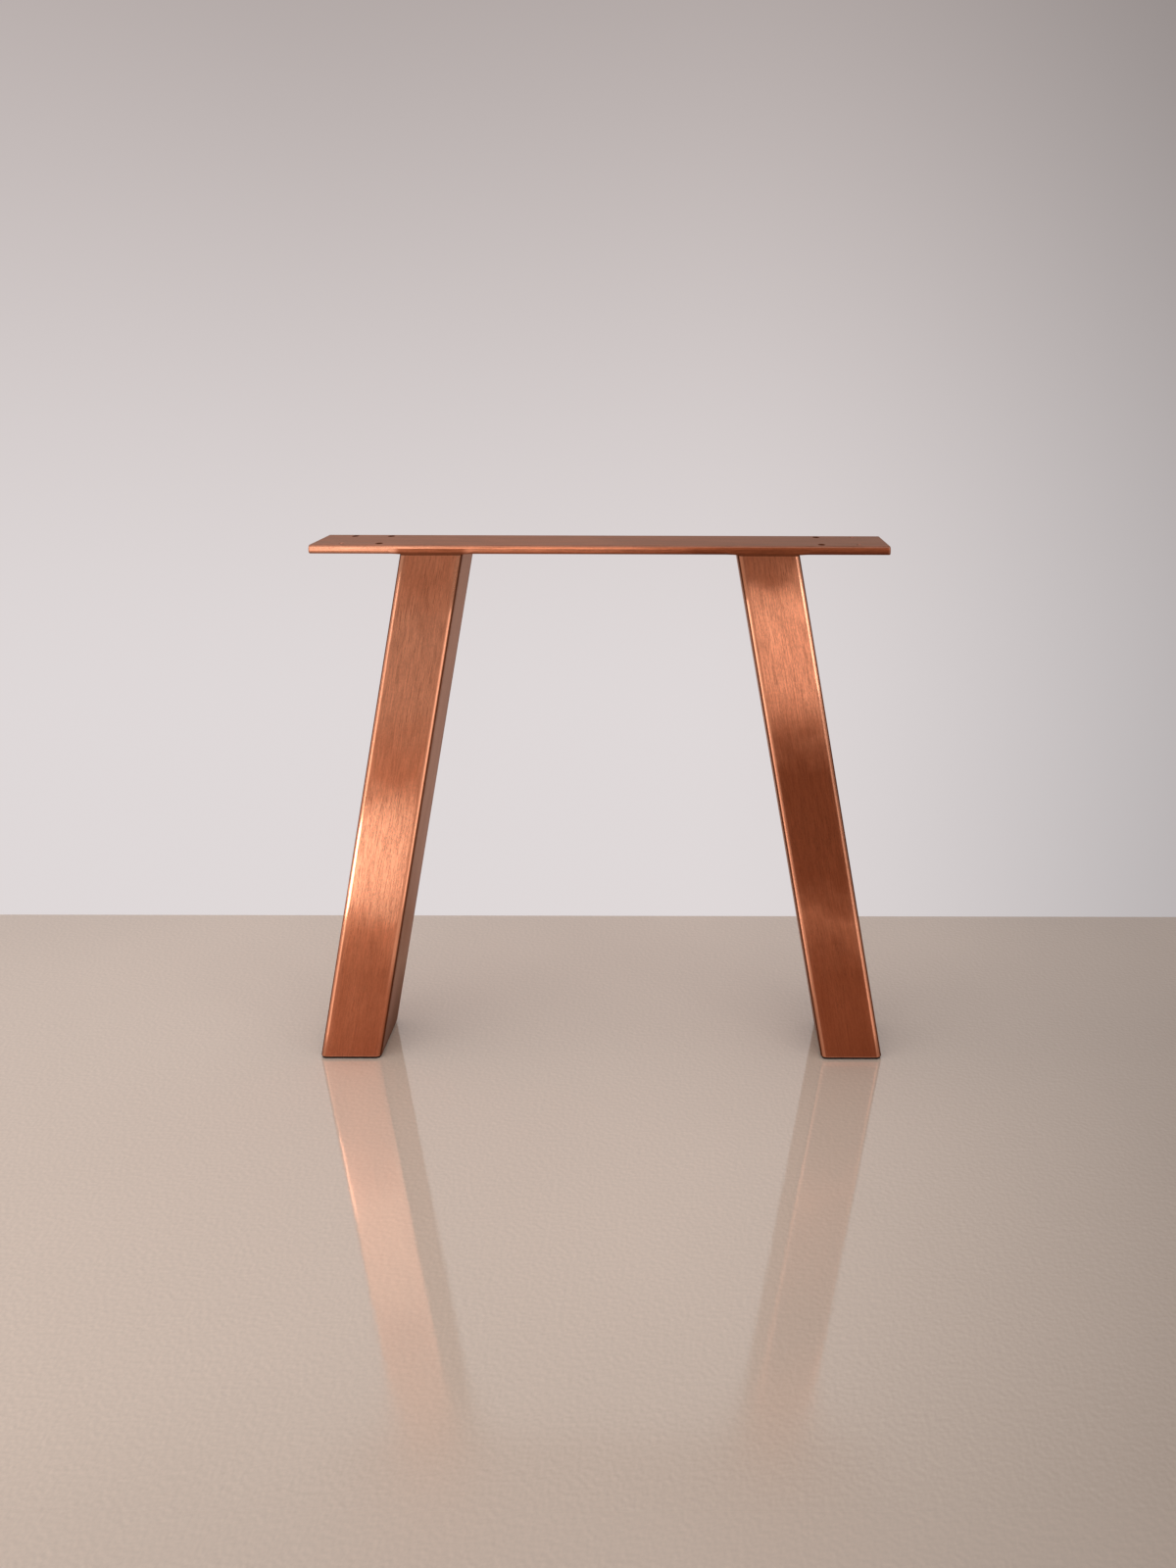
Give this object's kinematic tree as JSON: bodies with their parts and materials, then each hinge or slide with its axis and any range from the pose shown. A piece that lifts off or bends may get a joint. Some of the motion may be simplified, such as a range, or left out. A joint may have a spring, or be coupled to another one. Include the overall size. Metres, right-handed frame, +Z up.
{
  "type": "trestle table leg",
  "caption": "Copper-finished steel trestle leg: a flat plate with screw holes on two splayed box tubes with closed feet and thin floor pads.",
  "frame": {"origin": "on the floor, under the middle of the frame, halfway between its front and back faces", "axes": "+X along the plate towards the right leg seen from the front, +Y from the front face to the back face, +Z up"},
  "size_m": [0.77, 0.11, 0.71],
  "materials": {
    "plate": "brushed, aged copper finish",
    "legs": "brushed, aged copper finish",
    "welds": "ground flush, copper finish",
    "pads": "matt black"
  },
  "bodies": {
    "root": {"top_plate": "plate", "left_leg_tube": "legs", "left_plate_weld": "welds", "left_foot_weld": "welds", "left_foot_plate": "legs", "left_floor_pad": "pads", "right_leg_tube": "legs", "right_plate_weld": "welds", "right_foot_weld": "welds", "right_foot_plate": "legs", "right_floor_pad": "pads"}
  },
  "joints": []
}
